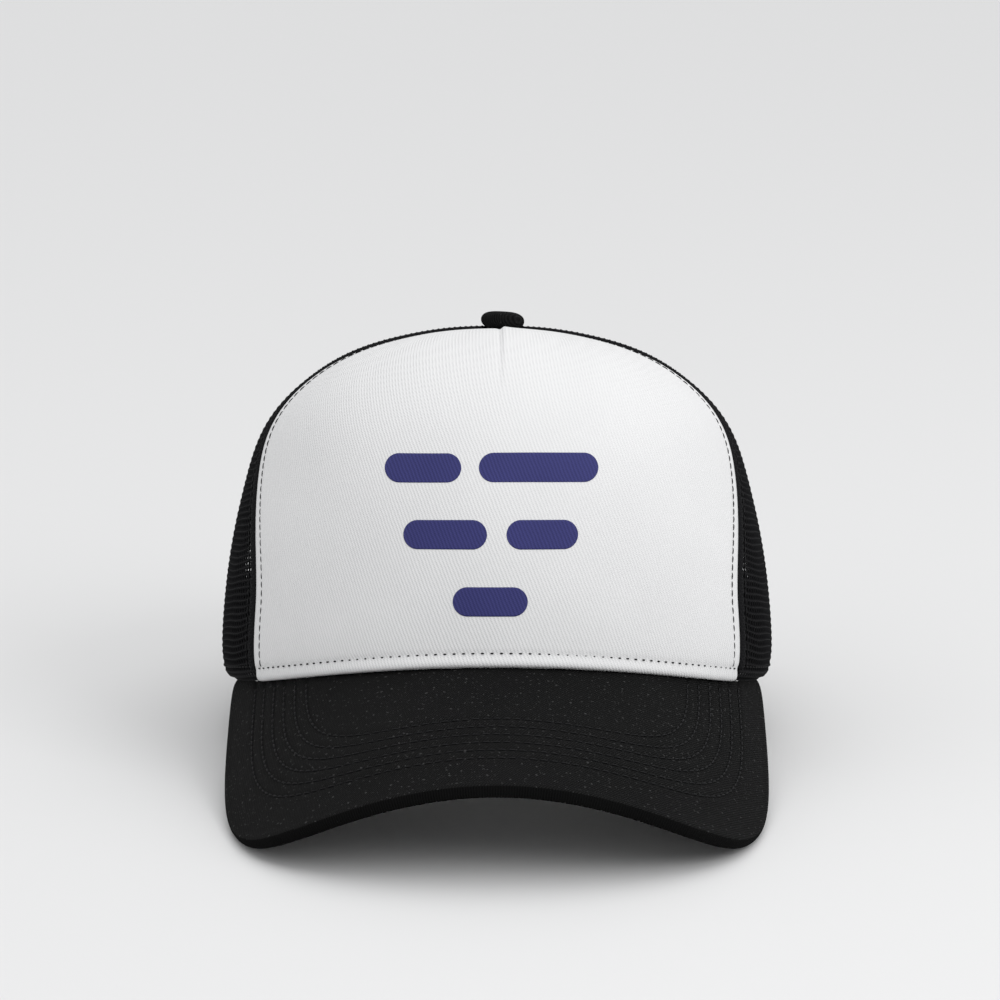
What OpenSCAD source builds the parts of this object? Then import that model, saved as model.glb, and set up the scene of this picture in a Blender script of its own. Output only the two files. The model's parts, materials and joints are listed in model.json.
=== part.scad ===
// A five-panel trucker cap that stands on a table. It rests on the two front corners of its bent
// visor and on the two feet of its rear opening. +Z is up, the visor points along -Y and +X is the
// wearer's left. Everything is drawn about the plane of the rim, and placed() tips it onto the table.

/* [Crown] */
// Half length of the rim, front to back
rim_front_r = 98; // [95:0.5:101]
// Half width of the rim
rim_side_r = 88; // [85:0.5:91]
// Height of the crown above the plane of the rim
crown_h = 117; // [110:1:124]
// How far the rim arches up over the forehead
front_arch = 11.5; // [10:0.5:13]
// Fullness of the side walls, as a superellipse power
side_power = 2.85; // [2.6:0.05:3.1]
// Fullness of the front panel
front_power = 2.9; // [2.7:0.05:3.1]
// Fullness of the back
back_power = 2.25; // [2.1:0.05:2.5]
// Outward swell of the sides above the rolled hem, as a share of the width
side_swell = 0.052; // [0.02:0.002:0.07]
// How much the walls lean in per 100 mm of height
wall_lean = 0.045; // [0.02:0.005:0.07]
// Outward swell of the shoulders, as a share of the width
shoulder_swell = 0.04; // [0.02:0.005:0.05]
// Angle from the front to the front seam at the rim
front_seam_deg = 59.5; // [56:0.5:63]
// How much further round that seam runs near the button
front_seam_sweep = 16; // [12:1:18]
// Angle from the front to the seam between side and rear mesh
rear_seam_deg = 122; // [118:1:126]
// How much further round that seam runs near the button
rear_seam_sweep = 8; // [4:1:12]
// How far the whole cap is tipped back on the table
tip_back_deg = 11.4; // [11:0.1:11.6]

/* [Cloth] */
// Thickness of the front twill
twill_t = 0.9; // [0.6:0.1:1]
// Thickness of the stiff lining behind the front panel
backing_t = 1.1; // [0.8:0.1:1.2]
// Thickness of the knitted mesh
mesh_t = 0.9; // [0.6:0.1:1]
// Width of the tapes that cover the seams inside
tape_w = 13; // [10:0.5:15]
// Height of the sweatband
sweatband_h = 32; // [26:1:36]
// Thickness of the sweatband
sweatband_t = 1.6; // [1.2:0.1:2]

/* [Visor] */
// Radius that the visor is bent to at the rim
visor_r = 110; // [108:0.5:113]
// How much that radius shrinks per mm towards the front edge
visor_taper = 0.1; // [0.06:0.01:0.12]
// Droop of the visor's centre line
visor_droop = 26.2; // [25:0.1:27.5]
// Length of the visor at its centre
visor_l = 66.6; // [64:0.1:69]
// Half width of the flat visor, round the bend
visor_half_w = 98.9; // [97.5:0.1:99.5]
// Power of the visor's outline
visor_power = 3.8; // [3.6:0.1:4.2]
// Full thickness of the visor
visor_t = 4; // [3.8:0.1:4.4]
// Thickness of each cloth cover
cover_t = 0.8; // [0.6:0.1:0.9]
// Rows of stitching on the visor
visor_rows = 6; // [4:1:7]
// Distance from the visor's edge to the first row
first_row = 13.5; // [10:0.5:16]
// Distance between rows
row_pitch = 4.4; // [3.5:0.1:5]
// How much further in the rows lie at the front
rows_front = 2.3; // [0:0.1:3]

/* [Rear opening] */
// Half width of the opening, as an angle round the crown
arch_deg = 28.5; // [28:0.5:30]
// Height of the opening
arch_h = 50; // [46:1:54]
// Width of the tape that binds it
binding_w = 9; // [7:0.5:10]

/* [Straps] */
// Outer radius of the outer strap
strap_r = 74; // [73:0.5:75]
// Width of the straps
strap_w = 19; // [17:0.5:20]
// Thickness of the straps
strap_t = 1.2; // [1:0.1:1.2]
// Distance between pegs
peg_pitch = 9; // [8.5:0.1:9.2]
// Pegs on one strap, and holes in the other
peg_count = 7; // [5:1:7]
// Pegs that sit in holes
pegs_engaged = 5; // [5:2:5]
// Radius of a peg
peg_r = 1.7; // [1.5:0.1:1.8]
// Radius of a hole
hole_r = 2.6; // [2.5:0.05:2.8]
// Angle from the back to the line where each strap flexes
strap_root_deg = 31; // [30.75:0.25:31.5]

/* [Button] */
// Radius of the button
button_r = 7.2; // [6.5:0.1:7.6]
// Height of the button
button_h = 5.4; // [4.5:0.1:6]

/* [Hidden] */

WHITE = [0.93, 0.93, 0.93];
BLACK = [0.08, 0.08, 0.09];
INDIGO = [0.16, 0.16, 0.38];
CREAM = [0.85, 0.83, 0.78];
STEEL = [0.6, 0.6, 0.62];
LABEL = [0.9, 0.9, 0.88];

layer_gap = 0.15;                    // air between cloth layers
thread_t = 0.4;                      // how far a row of thread stands out
thread_w = 0.8;                      // width of a row of thread
rows_up = 15;                        // facets from rim to button
front_cols = 24;                     // facets across the front panel
side_cols = 12;                      // facets across a mesh panel
visor_cols = 40;                     // facets round the visor
top_hole_r = 3;                      // hole that the panels leave for the rivet
hem_swell_h = 4;                     // height in which the rolled hem swells out
shoulder_at = 0.77;                  // height share of the shoulders
shoulder_run = 0.17;                 // height share over which their swell dies away
seam_start = 0.2;                    // height share at which the seams begin to sweep
seam_run = 0.65;                     // height share over which they sweep
visor_mid_t = -35;                   // where the visor is widest, along the droop
visor_end_deg = 80;                  // angle round the rim to the visor's tips
visor_tip_turn = 110;                // angle round the outline to the visor's tips
visor_seam_drop = 0.8;               // how far the visor's face lies below the rim
visor_z = 10.9;                      // height of the visor's centre at the rim
seam_reach = 14;                     // distance over which the rim pulls the visor to its line
strap_gap = 0.4;                     // air between the straps
strap_z = 3;                         // height of the straps' lower edge above the rim
strap_y = rim_front_r - 2.7 - strap_r;
strap_mid_r = strap_r - strap_t / 2;
peg_mid_r = strap_mid_r - strap_t - strap_gap;
pitch_deg = peg_pitch / strap_mid_r * 180 / PI;
end_margin = 5;                      // from the last hole to the strap's tip
root_air = 0.35;                     // air round the line where a strap flexes
root_len_deg = 9;                    // length of the part of the strap that is sewn in
$fn = 48;

// ---- small helpers ----

function mix(a, b, k) = a * (1 - k) + b * k;
function clamp01(x) = min(1, max(0, x));
function smooth(x) = let (k = clamp01(x)) k * k * (3 - 2 * k);
function unsmooth(y) = 0.5 - sin(asin(1 - 2 * y) / 3);
function unit(v) = v / norm(v);

// A closed solid between two matching grids of points, its upper and its lower face
module sheet(upper, lower) {
    rows = len(upper);
    cols = len(upper[0]);
    n = rows * cols;
    last = (rows - 1) * cols;
    points = concat([for (row = upper) each row], [for (row = lower) each row]);
    skins = [for (i = [0 : rows - 2], j = [0 : cols - 2])
        let (a = i * cols + j, b = a + 1, c = a + cols, d = c + 1)
        each [[a, c, d], [a, d, b], [n + a, n + d, n + c], [n + a, n + b, n + d]]];
    ends = [for (j = [0 : cols - 2]) let (a = j, b = j + 1, c = last + j, d = c + 1)
        each [[a, b, n + b], [a, n + b, n + a], [d, c, n + c], [d, n + c, n + d]]];
    sides = [for (i = [0 : rows - 2])
        let (a = i * cols, c = a + cols, b = a + cols - 1, d = b + cols)
        each [[c, a, n + a], [c, n + a, n + c], [b, d, n + d], [b, n + d, n + b]]];
    polyhedron(points, concat(skins, ends, sides), convexity = 6);
}

// Tips the cap back and sets it on the table, centred over the origin
function tipped(p) = [p.x, p.y * cos(tip_back_deg) + p.z * sin(tip_back_deg),
    p.z * cos(tip_back_deg) - p.y * sin(tip_back_deg)];
foot_y = rim_front_r * cos(arch_deg);
lift = -tipped([0, foot_y, 0]).z;
front_y = tipped(visor_edge_front()).y;
back_y = max([for (t = [0 : 3 : 60]) tipped(layer_point(180, t, 0)).y]);

module placed() {
    translate([0, -(front_y + back_y) / 2, lift]) rotate([-tip_back_deg, 0, 0]) children();
}

module mirrored(on) {
    if (on) mirror([1, 0, 0]) children();
    else children();
}

// ---- the crown's surface ----
// phi runs round from the front towards +X, and t climbs from 0 at the rim to 90 at the button

function crown_power(phi) = side_power
    + (front_power - side_power) * pow(max(0, cos(phi)), 2)
    + (back_power - side_power) * pow(max(0, -cos(phi)), 2);
function rim_z(phi) = front_arch * pow(max(0, cos(phi)), 2);
function rise(t, power) = pow(sin(t), 2 / power);
function wall_share(phi, t) = let (s = rise(t, crown_power(phi)))
    1 + pow(sin(phi), 2) * (side_swell * (1 - exp(-s * crown_h / hem_swell_h))
        + shoulder_swell * exp(-pow((s - shoulder_at) / shoulder_run, 2))) - wall_lean * s * crown_h / 100;
function crown_point(phi, t) =
    let (power = crown_power(phi), r = pow(cos(t), 2 / power) * wall_share(phi, t))
    [rim_side_r * sin(phi) * r, -rim_front_r * cos(phi) * r, mix(rim_z(phi), crown_h, rise(t, power))];
function crown_normal(phi, t) =
    let (round = crown_point(phi + 0.5, t) - crown_point(phi - 0.5, t),
        up = crown_point(phi, min(t + 0.4, 89.9)) - crown_point(phi, max(t - 0.4, 0.01)))
    unit(cross(round, up));

// A point at some depth under the crown's outer face
function layer_point(phi, t, depth) = crown_point(phi, t) - depth * crown_normal(phi, t);

// The climb t at which the crown is h above the rim
function climb_at(phi, h) = asin(pow(clamp01(h / (crown_h - rim_z(phi))), crown_power(phi) / 2));

// Rows are close together near the rim and near the button
function climb(v) = 90 * smooth(v);
function share_at(t) = unsmooth(t / 90);
top_climb = 90 - asin(pow(top_hole_r / rim_front_r, side_power / 2));
top_share = share_at(top_climb);

function seam_sweep(t) = smooth((rise(t, side_power) - seam_start) / seam_run);
function front_seam(t) = front_seam_deg + front_seam_sweep * seam_sweep(t);
function rear_seam(t) = rear_seam_deg + rear_seam_sweep * seam_sweep(t);

// Half an angle's worth of a width on the crown, which shrinks towards the button
function half_angle(width, t) = atan(width / 2 / (rim_side_r * pow(cos(t), 2 / side_power)));

// A patch of cloth between two edges, each given as an angle at every row
module crown_patch(from, to, climbs, cols, upper, lower) {
    grid = function (depth) [for (i = [0 : len(climbs) - 1])
        [for (j = [0 : cols]) layer_point(mix(from[i], to[i], j / cols), climbs[i], depth)]];
    sheet(grid(upper), grid(lower));
}

// ---- crown pieces ----

full_climbs = [for (i = [0 : rows_up]) climb(top_share * i / rows_up)];

module front_panel() {
    color(WHITE) crown_patch([for (t = full_climbs) -front_seam(t)], [for (t = full_climbs) front_seam(t)],
        full_climbs, front_cols, 0, twill_t);
}

module front_backing() {
    margin = 1.5;
    climbs = [for (i = [1 : rows_up - 2]) full_climbs[i]];
    color(CREAM) crown_patch([for (t = climbs) margin - front_seam(t)],
        [for (t = climbs) front_seam(t) - margin], climbs, front_cols, twill_t + layer_gap,
        twill_t + layer_gap + backing_t);
}

module side_mesh() {
    color(BLACK) crown_patch([for (t = full_climbs) front_seam(t)], [for (t = full_climbs) rear_seam(t)],
        full_climbs, side_cols, 0, mesh_t);
}

// The arched opening: height of its edge at an angle from the back, widened by an offset
arch_power = 2.4;
function arch_half(offset) = arch_deg + offset / rim_front_r * 180 / PI;
function arch_edge(deg, offset) = let (k = clamp01(abs(deg) / arch_half(offset)))
    (arch_h + offset) * pow(1 - pow(k, arch_power), 1 / arch_power);

// Height share of the arch's edge in a column of the rear mesh, which leans with the rear seam
function arch_share(phi, across, offset, passes = 4) =
    let (t = climb_at(180, arch_edge(180 - phi, offset)))
    passes == 0 ? share_at(t) : arch_share(mix(rear_seam(t), 180, across), across, offset, passes - 1);

module rear_mesh() {
    offset = binding_w + 0.6;
    wall_cols = 5;
    arch_cols = 10;
    corner = 180 - arch_half(offset);
    columns = concat([for (j = [0 : wall_cols - 1]) mix(rear_seam_deg, corner, j / wall_cols)],
        [for (j = [0 : arch_cols]) 180 - arch_half(offset) * cos(90 * j / arch_cols)]);
    grid = function (depth) [for (i = [0 : rows_up]) [for (phi = columns)
        let (across = (phi - rear_seam_deg) / (180 - rear_seam_deg), low = arch_share(phi, across, offset),
            t = climb(mix(low, top_share, i / rows_up)))
        layer_point(mix(rear_seam(t), 180, across), t, depth)]];
    color(BLACK) sheet(grid(0), grid(mesh_t));
}

// Seam tapes lie inside, over the edges of the two panels that they join
tape_climbs = [for (i = [0 : rows_up - 2]) climb(mix(share_at(climb_at(180, 2)), 0.88, i / (rows_up - 2)))];

module seam_tape(seams, climbs, depth) {
    halves = [for (t = climbs) half_angle(tape_w, t)];
    color(BLACK) crown_patch(seams - halves, seams + halves, climbs, 2, depth, depth + 0.5);
}

module front_seam_tape() {
    seam_tape([for (t = tape_climbs) front_seam(t)], tape_climbs, twill_t + backing_t + 4 * layer_gap);
}

module rear_seam_tape() {
    seam_tape([for (t = tape_climbs) rear_seam(t)], tape_climbs, mesh_t + 3 * layer_gap);
}

module centre_rear_seam_tape() {
    low = share_at(climb_at(180, arch_h + binding_w + 1));
    climbs = [for (i = [0 : rows_up - 2]) climb(mix(low, 0.88, i / (rows_up - 2)))];
    seam_tape([for (t = climbs) 180], climbs, mesh_t + 3 * layer_gap);
}

module rear_arch_binding() {
    steps = 28;
    proud = 0.4;
    grid = function (depth) [for (offset = [0, binding_w]) [for (i = [0 : steps])
        let (turn = 180 * i / steps, x = cos(turn),
            deg = arch_half(offset) * sign(x) * pow(abs(x), 2 / arch_power),
            h = (arch_h + offset) * pow(abs(sin(turn)), 2 / arch_power))
        layer_point(180 - deg, climb_at(180, h), depth)]];
    color(BLACK) sheet(grid(-proud), grid(mesh_t + 0.7));
}

module sweatband() {
    cols = 50;
    end_deg = 147;
    front_depth = 3.3;
    tab_room = 4.2;
    grid = function (extra) [for (h = [1.2, sweatband_h / 2, sweatband_h]) [for (j = [0 : cols])
        let (phi = mix(-end_deg, end_deg, j / cols),
            depth = front_depth + tab_room * smooth((abs(phi) - 105) / 35))
        layer_point(phi, climb_at(phi, h), depth + extra)]];
    color(BLACK) sheet(grid(0), grid(sweatband_t));
}

// ---- the visor's surface ----
// It is bent round a drooping cone. w runs round the bend and t runs out along the droop

function bend_r(t) = visor_r - visor_taper * t;
function bend_turn(w, t) = w / bend_r(t) * 180 / PI;
function bend_drop(w, t) = bend_r(t) * (1 - cos(bend_turn(w, t)));
function bent_y(w, t) = -rim_front_r - t * cos(visor_droop) + bend_drop(w, t) * sin(visor_droop);
function bent_z(w, t) = visor_z - t * sin(visor_droop) - bend_drop(w, t) * cos(visor_droop);

// w and t of a point of the rim, moved in or out. Each pass puts right the bend's radius
function rim_on_visor(phi, out, t = 0, passes = 4) =
    let (x = (rim_side_r + out) * sin(phi), y = -(rim_front_r + out) * cos(phi),
        w = bend_r(t) * asin(x / bend_r(t)) * PI / 180,
        next = (bend_drop(w, t) * sin(visor_droop) - rim_front_r - y) / cos(visor_droop))
    passes == 0 ? [w, t] : rim_on_visor(phi, out, next, passes - 1);

// How far the bare bend misses the rim line, which the seam makes good close to the crown
function rim_miss(phi) = let (p = rim_on_visor(phi, 0))
    rim_z(phi) - visor_seam_drop - bent_z(p[0], p[1]);
function visor_point(w, t, depth) =
    let (turn = bend_turn(w, t), x = bend_r(t) * sin(turn), y = bent_y(w, t),
        across = x / rim_side_r, along = -y / rim_front_r, phi = atan2(across, along),
        out = max(0, norm([across, along]) - 1) * rim_front_r, limit = visor_end_deg + 5,
        pull = rim_miss(min(limit, max(-limit, phi))) * exp(-out / seam_reach))
    [x - depth * sin(turn), y - depth * cos(turn) * sin(visor_droop),
        bent_z(w, t) + pull - depth * cos(turn) * cos(visor_droop)];

// The outline is a superellipse about the point where the visor is widest
function outline(turn, inset, front = 0) =
    let (half_w = visor_half_w - inset, length = visor_l - visor_mid_t - inset - front,
        r = pow(pow(abs(sin(turn)) / half_w, visor_power) + pow(abs(cos(turn)) / length, visor_power),
            -1 / visor_power))
    [r * sin(turn), visor_mid_t + r * cos(turn)];
function visor_edge_front() = visor_point(0, visor_l, 0);

// One layer of the visor, from the rim to the outline. depths gives one depth per row
module visor_layer(inset, rim_out, end_deg, tip_turn, rows, upper, lower) {
    grid = function (depths) [for (i = [0 : len(rows) - 1]) [for (j = [0 : visor_cols])
        let (k = 2 * j / visor_cols - 1, inner = rim_on_visor(end_deg * k, rim_out),
            p = mix(inner, outline(tip_turn * k, inset), rows[i]))
        visor_point(p[0], p[1], depths[i])]];
    sheet(grid(lower), grid(upper));
}

cover_rows = [0, 0.25, 0.5, 0.75, 0.96, 1];
half_t = visor_t / 2;
function cover_depths(skin, rim) = [skin, skin, skin, skin, skin, rim];

module visor_top_cover() {
    color(BLACK) visor_layer(0, -1, visor_end_deg, visor_tip_turn, cover_rows, cover_depths(0, 0),
        cover_depths(cover_t, half_t - 0.05));
}

module visor_under_cover() {
    color(BLACK) visor_layer(0, -1, visor_end_deg, visor_tip_turn, cover_rows,
        cover_depths(visor_t - cover_t, half_t + 0.05), cover_depths(visor_t, visor_t));
}

module visor_board() {
    rows = [0, 0.25, 0.5, 0.75, 1];
    upper = cover_t + 2 * layer_gap;
    lower = visor_t - cover_t - 2 * layer_gap;
    color(CREAM) visor_layer(4, 1, 66, 97, rows, [for (r = rows) upper], [for (r = rows) lower]);
}

module visor_stitching() {
    steps = 40;
    rim_air = 2;
    color(BLACK) for (row = [0 : visor_rows - 1]) {
        inset = first_row + row * row_pitch;
        x = bend_r(visor_mid_t) * sin(bend_turn(visor_half_w - inset, visor_mid_t));
        end = rim_on_visor(asin(x / (rim_side_r + rim_air)), rim_air);
        last_turn = atan2(end[0], end[1] - visor_mid_t);
        grid = function (depth) [for (side = [0.5, -0.5]) [for (j = [0 : steps])
            let (p = outline(last_turn * (2 * j / steps - 1), inset + side * thread_w, rows_front))
            visor_point(p[0], p[1], depth)]];
        sheet(grid(-0.12), grid(-thread_t - 0.1));
    }
}

// ---- thread and trim on the crown ----

module front_seam_stitching() {
    seam_inset = 4.3;
    climbs = [for (t = full_climbs) if (t < 88) t];
    near = [for (t = climbs) front_seam(t) - half_angle(2 * seam_inset + thread_w, t)];
    far = [for (t = climbs) front_seam(t) - half_angle(2 * seam_inset - thread_w, t)];
    color(BLACK) for (side = [0, 1]) mirrored(side == 1) crown_patch(near, far, climbs, 1, -thread_t, -0.02);
}

module hem_stitching() {
    hem_h = 4;
    cols = 72;
    end_deg = 180 - arch_half(binding_w) - 0.5;
    grid = function (depth) [for (h = [hem_h, hem_h + thread_w]) [for (j = [0 : cols])
        let (phi = mix(-end_deg, end_deg, j / cols)) layer_point(phi, climb_at(phi, h), depth)]];
    color(BLACK) sheet(grid(-thread_t - 0.05), grid(-0.05));
}

// Five plain rounded bars in three lines: centre, height above the rim, length
print_bars = [[-23, 72.5, 24], [13, 72.5, 37], [-16, 52, 26], [14, 52, 22], [-2, 31.5, 23]];
bar_h = 9;

module front_print() {
    cols = 10;
    color(INDIGO) for (bar = print_bars) {
        grid = function (depth) [for (side = [-1, 1]) [for (j = [0 : cols])
            let (turn = 180 * j / cols, x = bar[0] - bar[2] / 2 * cos(turn),
                into_end = max(0, abs(x - bar[0]) - bar[2] / 2 + bar_h / 2) / (bar_h / 2),
                half = bar_h / 2 * sqrt(max(0.01, 1 - into_end * into_end)),
                phi = asin(x / (rim_side_r * 0.97)),
                t = climb_at(phi, bar[1] + side * half - rim_z(phi)))
            layer_point(phi, t, depth)]];
        sheet(grid(-0.3), grid(-0.12));
    }
}

// ---- button ----
top_z = crown_h;
button_x = 1.8;    // it sits a little to the wearer's left of the crown's centre

module button_cover() {
    skin = 0.6;
    color(BLACK) translate([button_x, 0, top_z + 0.2]) rotate_extrude() difference() {
        intersection() {
            scale([button_r / button_h, 1]) circle(button_h);
            square([button_r, button_h]);
        }
        scale([(button_r - skin) / (button_h - skin), 1]) circle(button_h - skin);
    }
}

module button_core() {
    wall = 0.5;
    room = 0.7;
    color(STEEL) translate([button_x, 0, top_z + 0.2]) rotate_extrude() difference() {
        intersection() {
            scale([(button_r - room) / (button_h - room), 1]) circle(button_h - room);
            square([button_r, button_h]);
        }
        scale([(button_r - room - wall) / (button_h - room - wall), 1]) circle(button_h - room - wall);
    }
}

module button_rivet() {
    shank_r = 1;
    head_t = 0.6;
    head_r = 2;
    washer_r = 6;
    drop = twill_t + 3;
    color(STEEL) translate([0, 0, top_z]) {
        translate([0, 0, -drop]) cylinder(h = drop + 3, r = shank_r);
        translate([0, 0, 2.4]) cylinder(h = head_t, r = head_r);
        translate([0, 0, -drop - head_t]) cylinder(h = head_t, r = washer_r);
    }
}

module care_label() {
    label = [26, 0.4, 18];
    color(LABEL) translate([0, rim_front_r - 16, arch_h + 2]) rotate([24, 0, 0]) translate([-label.x / 2, 0, 0])
        cube(label);
}

// ---- straps ----
// Angles run from the back towards +X. The outer strap has the holes and is rooted on the +X side

module strap_ring(mid_r, from, to) {
    translate([0, strap_y, strap_z]) rotate([0, 0, 90 - to]) rotate_extrude(angle = to - from, $fn = 96)
        translate([mid_r - strap_t / 2, 0]) square([strap_t, strap_w]);
}

// A round bar that points out through the straps
module strap_bore(deg, r, from, to) {
    translate([0, strap_y, strap_z + strap_w / 2]) rotate([0, 0, -deg]) rotate([-90, 0, 0])
        translate([0, 0, from]) cylinder(h = to - from, r = r);
}

// The free part of a strap, with a rounded nose
module strap_band(mid_r) {
    nose_r = 12;
    nose_deg = peg_deg(0) + (nose_r - end_margin) / mid_r * 180 / PI;
    difference() {
        strap_ring(mid_r, nose_deg - 12, strap_root_deg);
        difference() {
            translate([0, strap_y, strap_z - 1]) rotate([0, 0, -nose_deg]) translate([-30, mid_r - 6, 0])
                cube([30, 12, strap_w + 2]);
            strap_bore(nose_deg, nose_r, mid_r - 7, mid_r + 7);
        }
    }
}

module strap_root(mid_r) {
    start = strap_root_deg + (strap_t / 2 + root_air) / mid_r * 180 / PI;
    strap_ring(mid_r, start, start + root_len_deg);
}

function peg_deg(i) = (i + (1 - pegs_engaged) / 2) * pitch_deg;

module hole_strap() {
    color(BLACK) difference() {
        strap_band(strap_mid_r);
        for (i = [0 : peg_count - 1]) strap_bore(peg_deg(i), hole_r, strap_mid_r - 2, strap_mid_r + 2);
    }
}

module peg_strap() {
    peg_end = strap_r + 0.6;
    color(BLACK) mirror([1, 0, 0]) {
        strap_band(peg_mid_r);
        for (i = [0 : peg_count - 1]) strap_bore(peg_deg(i), peg_r, peg_mid_r, peg_end);
    }
}

module hole_strap_root() {
    color(BLACK) strap_root(strap_mid_r);
}

module peg_strap_root() {
    color(BLACK) mirror([1, 0, 0]) strap_root(peg_mid_r);
}

// Two upright bars of thread on each side, which sew the straps in behind the mesh
module strap_stitching() {
    for (side = [0, 1], bar = [0, 1]) mirrored(side == 1) {
        phi = 180 - arch_half(binding_w) - 1.2 - 1.6 * bar;
        heights = [for (i = [0 : 4]) mix(strap_z + 2, strap_z + strap_w - 1, i / 4)];
        climbs = [for (h = heights) climb_at(phi, h)];
        color(BLACK) crown_patch([for (t = climbs) phi], [for (t = climbs) phi + 0.5], climbs, 1,
            -thread_t - 0.05, -0.05);
    }
}

placed() front_panel();
placed() front_backing();
placed() side_mesh();  // left_side_mesh
placed() mirrored(true) side_mesh();  // right_side_mesh
placed() rear_mesh();  // left_rear_mesh
placed() mirrored(true) rear_mesh();  // right_rear_mesh
placed() front_seam_tape();  // left_front_seam_tape
placed() mirrored(true) front_seam_tape();  // right_front_seam_tape
placed() rear_seam_tape();  // left_rear_seam_tape
placed() mirrored(true) rear_seam_tape();  // right_rear_seam_tape
placed() centre_rear_seam_tape();
placed() rear_arch_binding();
placed() sweatband();
placed() visor_top_cover();
placed() visor_board();
placed() visor_under_cover();
placed() visor_stitching();
placed() front_seam_stitching();
placed() hem_stitching();
placed() button_cover();
placed() button_core();
placed() button_rivet();
placed() front_print();
placed() care_label();
placed() hole_strap();
placed() hole_strap_root();
placed() peg_strap();
placed() peg_strap_root();
placed() strap_stitching();
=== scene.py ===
"""Looks for the trucker mesh cap: cloth, knitted mesh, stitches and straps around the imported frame."""

import json
import math

import bmesh
import bpy
import numpy as np
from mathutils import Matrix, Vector


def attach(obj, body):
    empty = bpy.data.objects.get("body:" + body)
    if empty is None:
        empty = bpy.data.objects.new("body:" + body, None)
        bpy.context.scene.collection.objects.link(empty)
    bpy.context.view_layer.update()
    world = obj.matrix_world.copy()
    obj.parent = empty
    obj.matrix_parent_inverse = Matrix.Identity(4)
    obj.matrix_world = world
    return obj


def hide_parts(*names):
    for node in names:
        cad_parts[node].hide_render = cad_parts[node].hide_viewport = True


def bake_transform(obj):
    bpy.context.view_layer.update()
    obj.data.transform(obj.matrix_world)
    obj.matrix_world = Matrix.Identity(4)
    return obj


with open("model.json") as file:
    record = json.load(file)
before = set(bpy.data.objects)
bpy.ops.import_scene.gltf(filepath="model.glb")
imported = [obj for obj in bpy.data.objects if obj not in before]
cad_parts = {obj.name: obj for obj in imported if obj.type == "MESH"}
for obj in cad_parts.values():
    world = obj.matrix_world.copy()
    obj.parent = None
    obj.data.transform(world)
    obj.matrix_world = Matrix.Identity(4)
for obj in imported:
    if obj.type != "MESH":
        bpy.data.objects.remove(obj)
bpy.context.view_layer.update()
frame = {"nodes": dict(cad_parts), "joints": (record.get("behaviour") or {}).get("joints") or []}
MM = 0.001

# ---- the cap's driving dimensions, in millimetres and degrees, as in the CAD source ----
RIM_FRONT, RIM_SIDE, CROWN_H, FRONT_ARCH = 98.0, 88.0, 117.0, 11.5
SIDE_POWER, FRONT_POWER, BACK_POWER = 2.85, 2.9, 2.25
SIDE_SWELL, WALL_LEAN, SHOULDER, SHOULDER_AT, SHOULDER_RUN = 0.052, 0.045, 0.04, 0.77, 0.17
FRONT_SEAM, FRONT_SWEEP, REAR_SEAM, REAR_SWEEP = 59.5, 16.0, 122.0, 8.0
SWEEP_START, SWEEP_RUN = 0.2, 0.65
TOP_SAG = 1.2  # how far the crown sags beside the button
VISOR_R, VISOR_TAPER, VISOR_DROOP, VISOR_L = 110.0, 0.1, 26.2, 66.6
VISOR_HALF_W, VISOR_POWER, VISOR_MID, VISOR_Z = 98.9, 3.8, -35.0, 10.9
VISOR_T, VISOR_END, VISOR_TIP, VISOR_DROP, SEAM_REACH = 4.0, 80.0, 110.0, 0.8, 14.0
VISOR_ROWS, FIRST_ROW, ROW_PITCH, ROWS_FRONT = 6, 13.5, 4.4, 2.3
ARCH_DEG, ARCH_H, BINDING_W, ARCH_POWER = 28.5, 50.0, 9.0, 2.4
STRAP_R, STRAP_W, STRAP_T, STRAP_GAP, STRAP_Z = 74.0, 19.0, 1.2, 0.4, 3.0
PEG_PITCH, PEG_COUNT, PEGS_ENGAGED, PEG_R, HOLE_R = 9.0, 7, 5, 1.7, 2.6
STRAP_ROOT, ROOT_LEN, END_MARGIN, NOSE_R = 31.0, 9.0, 5.0, 12.0
BUTTON_R, BUTTON_H, BUTTON_X = 7.2, 5.4, 1.8
SEAM_INSET = 4.3  # from the white panel's edge to its row of stitches
STRAP_Y = RIM_FRONT - 2.7 - STRAP_R
STRAP_MID = STRAP_R - STRAP_T / 2
PEG_MID = STRAP_MID - STRAP_T - STRAP_GAP

# ---- dimensions that only the looks need, in millimetres ----
HEM_ROW = 4.2  # height of the stitches along the white panel's foot
HEM_STITCH = 2.9  # from one of them to the next
SEAM_STITCH = 2.6  # the same along the front seams
DART_L = 21.0  # length of the dart below the button
CLOTH_LIFT = 0.8  # share of its relief by which the white cloth stands out
PANEL_INNER = 0.75  # depth of the white cloth's inner face
LINING_DEPTHS = (1.05, 2.15)
TAPE_W, TAPE_T = 13.0, 0.45
FRONT_TAPE_DEPTH, REAR_TAPE_DEPTH = 2.35, 1.2
TAPE_END, ROLL_END = 88.2, 89.2  # climbs at which tapes and seam rolls stop
BAND_H, BAND_FOOT, BAND_T, BAND_DEPTH = 32.0, 1.2, 1.6, 3.3
BAND_ROWS = (5.0, 27.5)  # heights of the sweatband's two rows of stitches

# The cap is tipped back on the table: its tilt and place come from the straps' hinge
HINGE = frame["joints"][0]
TIP = math.atan2(-HINGE["axis"][1], -HINGE["axis"][2])


def sind(x):
    return np.sin(np.radians(x))


def cosd(x):
    return np.cos(np.radians(x))


def tipped(p):
    """Points tilted with the cap, about the middle of its rim."""
    p = np.asarray(p, float)
    x, y, z = p[..., 0], p[..., 1], p[..., 2]
    c, s = math.cos(TIP), math.sin(TIP)
    return np.stack([x, y * c + z * s, z * c - y * s], -1)


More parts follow.
